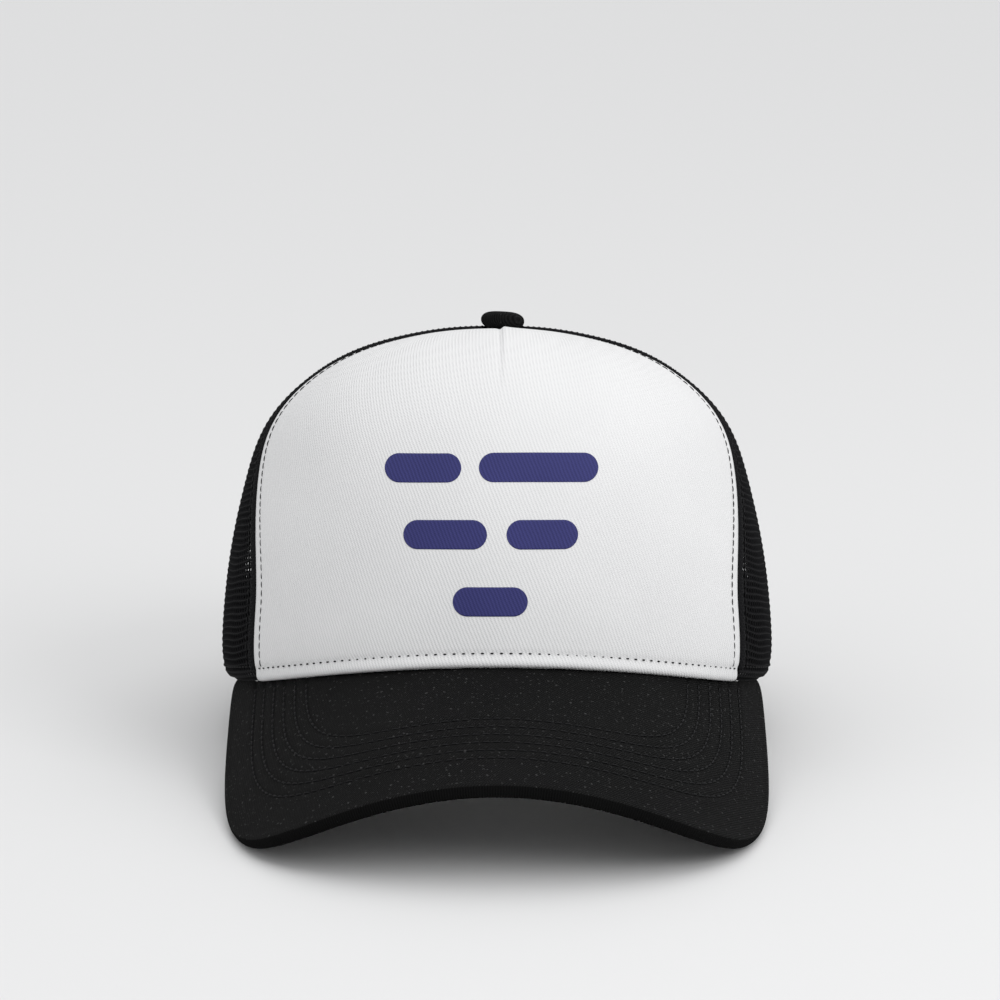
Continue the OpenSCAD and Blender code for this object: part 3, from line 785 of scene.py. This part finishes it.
def crown_run(phi, t, out, side=1):
    """Points and normals of a row of stitches, out millimetres above the crown."""
    p, n = crown_layer(phi, t, -out), crown_normal(phi, t)
    p[..., 0] *= side
    n[..., 0] *= side
    return p, n


def build_crown_stitching():
    t = np.interp(np.linspace(5, 150, 260), climb_table(60.0), CLIMBS)
    t = t[t < 88.6]
    r = np.maximum(crown_radius(front_seam(t), t), 1.0)
    runs = []
    for side in (1, -1):
        phi = front_seam(t) - np.degrees(SEAM_INSET / r)
        runs.append(crown_run(phi, t, 0.15, side))
    obj = stitches("front_seam_thread", runs, 2.3, 0.5, 0.34, 0.34)
    finish_piece(obj, THREAD, nodes=("front_seam_stitching",))
    runs = []
    for side in (1, -1):
        for off in (3.4, 5.4):
            runs.append(crown_run(front_seam(t) + np.degrees(off / r), t, 0.1, side))
        rr = np.maximum(crown_radius(rear_seam(t), t), 1.0)
        for off in (-2.6, 2.6):
            runs.append(crown_run(rear_seam(t) + np.degrees(off / rr), t, 0.1, side))
    finish_piece(stitches("mesh_seam_thread", runs, 2.2, 0.7, 0.45, 0.4), THREAD)
    front = np.linspace(-FRONT_SEAM + 1, FRONT_SEAM - 1, 300)
    runs = [crown_run(front, climb_at(front, HEM_ROW), 0.2)]
    obj = stitches("front_hem_thread", runs, 1.0, 1.9, 0.5, 0.4)
    finish_piece(obj, THREAD, nodes=("hem_stitching",))
    back = np.linspace(FRONT_SEAM + 1, 180 - arch_half(BINDING_W) - 1, 200)
    runs = [crown_run(back, climb_at(back, 5.0), 0.15, side) for side in (1, -1)]
    finish_piece(stitches("mesh_hem_thread", runs, 2.2, 0.7, 0.45, 0.4), THREAD)
    heights = np.linspace(STRAP_Z + 1, STRAP_Z + STRAP_W, 30)
    runs = []
    for side in (1, -1):
        for bar in (0, 1.6):
            phi = np.full_like(heights, 180 - arch_half(BINDING_W) - 1.2 - bar)
            runs.append(crown_run(phi, climb_at(phi, heights), 0.15, side))
    finish_piece(stitches("strap_thread", runs, 1.8, 0.4, 0.6, 0.45), THREAD,
                 nodes=("strap_stitching",))


def arch_path(offset):
    """Angles and climbs along the rear opening's outline, moved outwards by offset."""
    turn = np.linspace(0, 180, 160)
    x = cosd(turn)
    deg = arch_half(offset) * np.sign(x) * np.abs(x) ** (2 / ARCH_POWER)
    h = (ARCH_H + offset) * np.abs(sind(turn)) ** (2 / ARCH_POWER)
    return 180 - deg, climb_at(180.0, np.maximum(h, 0.02))


def build_arch_binding():
    offsets = np.linspace(0, BINDING_W, 13)
    k = np.linspace(-1, 1, 13)
    swell = 0.5 * (1 - np.abs(k) ** 4)
    outer, inner = [], []
    for off, puff in zip(offsets, swell):
        phi, t = arch_path(float(off))
        outer.append(crown_layer(phi, t, -0.1 - puff * 0.8))
        inner.append(crown_layer(phi, t, 1.15 + puff * 0.8))
    outer, inner = np.array(outer), np.array(inner)
    obj = slab("arch_tape", outer, inner, arc_lengths(outer))
    finish_piece(rounded(obj, 0.35), TAPE, nodes=("rear_arch_binding",))
    runs = []
    for off in (2.2, 7.2):
        phi, t = arch_path(off)
        runs.append(crown_run(phi, t, 0.5))
    finish_piece(stitches("arch_thread", runs, 2.3, 0.7, 0.5, 0.4), THREAD)


def band_depth(phi):
    """How deep the sweatband's outer face lies: it leaves the crown towards the straps."""
    return BAND_DEPTH + 4.2 * smooth((np.abs(phi) - 105) / 35)


def build_sweatband():
    phi = np.linspace(-147, 147, 300)[None, :]
    h = np.linspace(BAND_FOOT, BAND_H, 26)[:, None]
    t = climb_at(phi, h + 0 * phi)
    phi = np.broadcast_to(phi, t.shape)
    wave = 0.25 * np.sin(phi * 0.35) * (h - BAND_FOOT) / (BAND_H - BAND_FOOT) + 0.35 * bump(h - 30, 1.5)
    for row in BAND_ROWS:
        wave = wave - 0.2 * bump(h - row, 1.0)
    outer = crown_layer(phi, t, band_depth(phi))
    inner = crown_layer(phi, t, band_depth(phi) + BAND_T + wave)
    obj = slab("sweatband_cloth", outer, inner, arc_lengths(outer))
    finish_piece(rounded(obj, 0.5), SWEAT, nodes=("sweatband",))
    line = np.linspace(-145, 145, 500)
    runs = []
    for height in BAND_ROWS:
        t = climb_at(line, height)
        runs.append((crown_layer(line, t, band_depth(line) + BAND_T - 0.05), -crown_normal(line, t)))
    finish_piece(stitches("sweatband_thread", runs, 2.4, 0.7, 0.5, 0.4), THREAD)


# ---- visor ----


def stitch_grooves(w, t):
    """Depth shares of the stitched grooves, the quilting between them, and the distance from the edge."""
    inset = inset_of(w, t, ROWS_FRONT)
    groove = np.zeros_like(w)
    for row in range(VISOR_ROWS):
        groove += bump(inset - FIRST_ROW - row * ROW_PITCH, 0.75)
    quilt = np.where((inset > FIRST_ROW - 3) & (inset < FIRST_ROW + ROW_PITCH * VISOR_ROWS), 0.12, 0.0)
    return groove, quilt * (1 - groove), inset_of(w, t)


def visor_grid(cols, rows):
    """The visor's w and t on a grid from the rim to the edge, with its last rows close together."""
    k = np.linspace(-1, 1, cols)[None, :]
    v = np.concatenate([np.linspace(0, 0.965, rows - 14)[:-1], np.linspace(0.965, 1, 15)])[:, None]
    wi, ti = rim_on_visor(VISOR_END * k, -1.0)
    wo, to = outline(VISOR_TIP * k, 0.0)
    return wi * (1 - v) + wo * v, ti * (1 - v) + to * v


def build_visor():
    w, t = visor_grid(481, 125)
    groove, quilt, inset = stitch_grooves(w, t)
    ripple = 0.05 * np.sin(w / 2.1 + t / 1.7) * (inset > 2)
    edge = np.sqrt(np.clip(1 - (1 - np.clip(inset / 1.1, 0, 1)) ** 2, 0, 1))
    ridge = 0.1 * bump(inset - 1.8, 0.8) - 0.08 * bump(inset - 3.6, 0.9)
    lift = -0.34 * groove + quilt + ripple * 0.5 + ridge
    # The two cloths meet in the middle of the edge, and the board lies between them inside it
    for word in ("top", "under"):
        if word == "top":
            outer = visor_point(w, t, 1.95 - (1.95 + lift) * edge)
            inner = visor_point(w, t, np.where(edge > 0.9, 0.95, 1.97))
        else:
            outer = visor_point(w, t, np.where(edge > 0.9, 3.05, 2.03))
            inner = visor_point(w, t, 2.05 + (VISOR_T - 2.05 + lift) * edge)
        uv = np.stack([w, t], -1) * MM
        # Rows run outwards, so the grids are turned over to face up
        obj = slab(f"visor_{word}_cloth", outer[::-1], inner[::-1], uv[::-1])
        finish_piece(obj, VISOR_TWILL, nodes=(f"visor_{word}_cover",))
        # The faces of the rounded edge band take the darker twill: painted shade on the visor's edge
        obj.data.materials.append(VISOR_EDGE_SHADE)
        shaded_edge = (edge[:-1, :-1] < 0.97)[::-1].ravel()
        obj.data.polygons.foreach_set("material_index", np.concatenate(
            [shaded_edge, shaded_edge, np.zeros(len(obj.data.polygons) - 2 * shaded_edge.size, bool)]).astype(np.int32))
    runs_top, runs_under = [], []
    for row in range(VISOR_ROWS):
        inset = FIRST_ROW + row * ROW_PITCH
        x = bend_r(VISOR_MID) * math.sin((VISOR_HALF_W - inset) / bend_r(VISOR_MID))
        end_w, end_t = rim_on_visor(np.degrees(np.arcsin(x / (RIM_SIDE + 1.2))), 1.2)
        last = math.degrees(math.atan2(float(end_w), float(end_t) - VISOR_MID))
        turn = np.linspace(-last, last, 700)
        rw, rt = outline(turn, inset, ROWS_FRONT)
        up = visor_point(rw, rt, 0.0) - visor_point(rw, rt, 1.0)
        runs_top.append((visor_point(rw, rt, 0.22), up))
        runs_under.append((visor_point(rw, rt, VISOR_T - 0.22), -up))
    obj = stitches("visor_thread", runs_top, 2.5, 0.6, 0.62, 0.5, 0.02)
    finish_piece(obj, THREAD, nodes=("visor_stitching",))
    finish_piece(stitches("visor_under_thread", runs_under, 2.5, 0.6, 0.55, 0.42, 0.02), THREAD)


# ---- button, label ----


def pillow(name, radius, low, high, gathers, floor_r):
    """A round, flattened dome that curves in below. Its cloth is gathered round the lower edge."""
    rings, sides = 22, 72
    verts, faces, uvs = [], [], []
    middle, half = CROWN_H + (low + high) / 2, (high - low) / 2
    for i in range(rings):
        a = math.pi / 2 - math.radians(138) * i / (rings - 1)
        high_share = math.copysign(abs(math.sin(a)) ** 0.9, math.sin(a))
        for j in range(sides):
            th = 2 * math.pi * j / sides
            gather = 1 + gathers * math.sin(9 * th + 0.5) * math.cos(a) ** 3
            r = radius * abs(math.cos(a)) ** 0.62 * gather
            z = middle + half * high_share * 1.12 - 0.05 * r * math.sin(th)
            verts.append((BUTTON_X + r * math.sin(th), -r * math.cos(th), z))
            uvs.append((r * math.sin(th) * MM, (r * math.cos(th) + (z - CROWN_H) * 0.3) * MM))
    for j in range(sides):
        th = 2 * math.pi * j / sides
        verts.append((BUTTON_X + floor_r * math.sin(th), -floor_r * math.cos(th), CROWN_H - 0.15))
        uvs.append((floor_r * math.sin(th) * MM, floor_r * math.cos(th) * MM))
    for i in range(rings):
        for j in range(sides):
            a, b = i * sides + j, i * sides + (j + 1) % sides
            faces.append((a, a + sides, b + sides, b))
    faces.append(tuple(rings * sides + j for j in range(sides))[::-1])
    obj = new_object(name, placed(np.array(verts)), faces, uvs)
    merge = bmesh.new()
    merge.from_mesh(obj.data)
    bmesh.ops.remove_doubles(merge, verts=merge.verts, dist=0.05 * MM)
    bmesh.ops.recalc_face_normals(merge, faces=merge.faces)
    merge.to_mesh(obj.data)
    merge.free()
    return obj


def build_button():
    cover = pillow("button_cloth", BUTTON_R, 0.0, BUTTON_H, 0.018, 5.6)
    finish_piece(cover, VISOR_TWILL, nodes=("button_cover",))
    core = pillow("button_shell", BUTTON_R - 2.2, 0.4, BUTTON_H - 0.9, 0.0, 3.6)
    finish_piece(core, METAL, nodes=("button_core",))
    plain_node("button_rivet", METAL)


def build_label():
    k = np.linspace(-1, 1, 27)[None, :]
    v = np.linspace(0, 1, 19)[:, None]
    x = 13 * k + 0 * v
    y = RIM_FRONT - 16.3 - v * 7.2 + 0.5 * np.sin(k * 2.2) * v
    z = ARCH_H + 2.2 + v * 16.0 + 0 * k
    upper = np.stack([x, y + 0 * k, z], -1)
    lower = upper + np.array([0, -0.35, -0.15])
    obj = slab("care_label_cloth", upper, lower, np.stack([x, z], -1) * MM)
    finish_piece(rounded(obj, 0.1, 1), LABEL, nodes=("care_label",))


# ---- snap straps ----


def pitch_deg():
    return math.degrees(PEG_PITCH / STRAP_MID)


def peg_deg(i):
    return (i + (1 - PEGS_ENGAGED) / 2) * pitch_deg()


def strap_outline(mid_r):
    """The flat strap in millimetres: x from the nose to the sewn end, y across."""
    nose = math.radians(peg_deg(0)) * mid_r + NOSE_R - END_MARGIN
    end = math.radians(STRAP_ROOT + ROOT_LEN) * mid_r
    half = STRAP_W / 2
    a = math.asin(half / NOSE_R)
    arc = [(nose - NOSE_R * math.cos(q), NOSE_R * math.sin(q)) for q in np.linspace(a * 0.93, -a * 0.93, 15)]
    return arc + [(nose - NOSE_R * math.cos(a) + 1.2, -half), (end, -half), (end, half),
                  (nose - NOSE_R * math.cos(a) + 1.2, half)]


def spline(curve, points):
    s = curve.splines.new("POLY")
    s.points.add(len(points) - 1)
    for p, (x, y) in zip(s.points, points):
        p.co = (x, y, 0, 1)
    s.use_cyclic_u = True


def strap_mesh(name, mid_r, holes):
    """A flat strap with bevelled edges, cut across so that it can be bent."""
    curve = bpy.data.curves.new(name, "CURVE")
    curve.dimensions = "2D"
    curve.fill_mode = "BOTH"
    curve.extrude = STRAP_T / 2 - 0.2
    curve.bevel_depth = 0.2
    curve.bevel_resolution = 2
    curve.offset = -0.2
    spline(curve, strap_outline(mid_r))
    if holes:
        for i in range(PEG_COUNT):
            c = math.radians(peg_deg(i)) * mid_r
            spline(curve, [(c + HOLE_R * cosd(q), HOLE_R * sind(q)) for q in range(0, 360, 15)])
    temp = bpy.data.objects.new(name, curve)
    bpy.context.scene.collection.objects.link(temp)
    bpy.context.view_layer.update()
    mesh = bpy.data.meshes.new_from_object(temp.evaluated_get(bpy.context.evaluated_depsgraph_get()))
    bpy.data.objects.remove(temp)
    bm = bmesh.new()
    bm.from_mesh(mesh)
    bmesh.ops.remove_doubles(bm, verts=bm.verts, dist=0.001)
    xs = [v.co.x for v in bm.verts]
    for cut in np.arange(min(xs) + 1.5, max(xs) - 0.5, 1.5):
        geometry = bm.verts[:] + bm.edges[:] + bm.faces[:]
        bmesh.ops.bisect_plane(bm, geom=geometry, plane_co=(cut, 0, 0), plane_no=(1, 0, 0), dist=0.0005)
    if not holes:
        for i in range(PEG_COUNT):
            add_peg(bm, math.radians(peg_deg(i)) * mid_r)
    return mesh, bm


def add_peg(bm, x):
    """A round peg with a domed head, standing on the strap's outer face."""
    profile = [(PEG_R + 0.35, 0), (PEG_R + 0.08, 0.2), (PEG_R - 0.05, 0.5), (PEG_R - 0.05, 1.6),
               (PEG_R, 1.8), (PEG_R - 0.15, 2.05), (PEG_R - 0.6, 2.2), (0.02, 2.25)]
    sides = 24
    rings = []
    for r, z in profile:
        turns = [360 * k / sides for k in range(sides)]
        rings.append([bm.verts.new((x + r * cosd(a), r * sind(a), STRAP_T / 2 - 0.05 + z)) for a in turns])
    for low, high in zip(rings, rings[1:]):
        for k in range(sides):
            m = (k + 1) % sides
            bm.faces.new((low[k], low[m], high[m], high[k]))
    bm.faces.new(rings[-1])
    bm.faces.new(rings[0][::-1])


def build_strap(name, mid_r, side, holes, nodes):
    mesh, bm = strap_mesh(name, mid_r, holes)
    for v in bm.verts:
        a, r = v.co.x / mid_r, mid_r + v.co.z
        p = placed([side * r * math.sin(a), STRAP_Y + r * math.cos(a), STRAP_Z + STRAP_W / 2 + v.co.y])
        v.co = Vector(p)
    bmesh.ops.recalc_face_normals(bm, faces=bm.faces)
    bm.to_mesh(mesh)
    bm.free()
    mesh.polygons.foreach_set("use_smooth", [True] * len(mesh.polygons))
    mesh.materials.clear()
    mesh.materials.append(PLASTIC)
    obj = bpy.data.objects.new(name, mesh)
    bpy.context.scene.collection.objects.link(obj)
    split = obj.modifiers.new("edges", "EDGE_SPLIT")
    split.split_angle = math.radians(50)
    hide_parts(*nodes)
    a = math.radians(STRAP_ROOT)
    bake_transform(obj)


def build_straps():
    build_strap("hole_strap_plastic", STRAP_MID, 1, True, ("hole_strap", "hole_strap_root"))
    build_strap("peg_strap_plastic", PEG_MID, -1, False, ("peg_strap", "peg_strap_root"))


# ---- stage, light and camera ----


def build_stage():
    reach = 8.0
    corners = [(-reach, -reach, 0), (reach, -reach, 0), (reach, reach, 0), (-reach, reach, 0)]
    floor = new_object("floor", np.array(corners, float), [(0, 1, 2, 3)])
    floor.data.materials.append(shader("pale_floor", (0.71, 0.71, 0.71), 0.9, specular=0.1)[0])


def area_light(name, place, aim, size, power):
    data = bpy.data.lights.new(name, "AREA")
    data.energy, data.size = power, size
    obj = bpy.data.objects.new(name, data)
    obj.location = place
    obj.rotation_euler = (Vector(aim) - Vector(place)).to_track_quat("-Z", "Y").to_euler()
    bpy.context.scene.collection.objects.link(obj)


def build_lights():
    world = bpy.data.worlds.new("studio")
    world.use_nodes = True
    background = world.node_tree.nodes["Background"]
    background.inputs["Color"].default_value = (0.985, 0.99, 1.0, 1)
    background.inputs["Strength"].default_value = 0.68
    bpy.context.scene.world = world
    aim = (0, 0, 0.06)
    area_light("key_right", (1.1, -0.9, 1.0), aim, 0.9, 9.0)
    overhead = bpy.data.lights.new("overhead", "SUN")
    overhead.energy, overhead.angle = 1.1, math.radians(70)
    sun = bpy.data.objects.new("overhead", overhead)
    sun.rotation_euler = (math.radians(-8), math.radians(6), 0)
    bpy.context.scene.collection.objects.link(sun)
    area_light("fill_left", (-1.3, -1.0, 0.6), aim, 1.2, 1.5)


def build_camera():
    # Seen from 1.2 m, 2 degrees above the rim's own plane. The picture spans 0.335 m at that distance
    distance, rise, width = 1.2, TIP + math.radians(2.0), 0.335
    aim = Vector(placed([0, 0, 59.6]))
    aim.x += 0.001
    data = bpy.data.cameras.new("camera")
    data.sensor_width = 36.0
    data.lens = 36.0 * distance / width
    cam = bpy.data.objects.new("camera", data)
    cam.location = aim + Vector((0, -math.cos(rise), math.sin(rise))) * distance
    cam.rotation_euler = (aim - cam.location).to_track_quat("-Z", "Y").to_euler()
    bpy.context.scene.collection.objects.link(cam)
    bpy.context.scene.camera = cam


build_camera()
build_stage()
build_lights()
build_front_panel()
build_print()
build_backing()
build_mesh_panels()
build_seams()
build_crown_stitching()
build_arch_binding()
build_sweatband()
build_visor()
build_button()
build_label()
build_straps()
plain_node("visor_board", BOARD)
bpy.context.scene.view_settings.view_transform = "Standard"
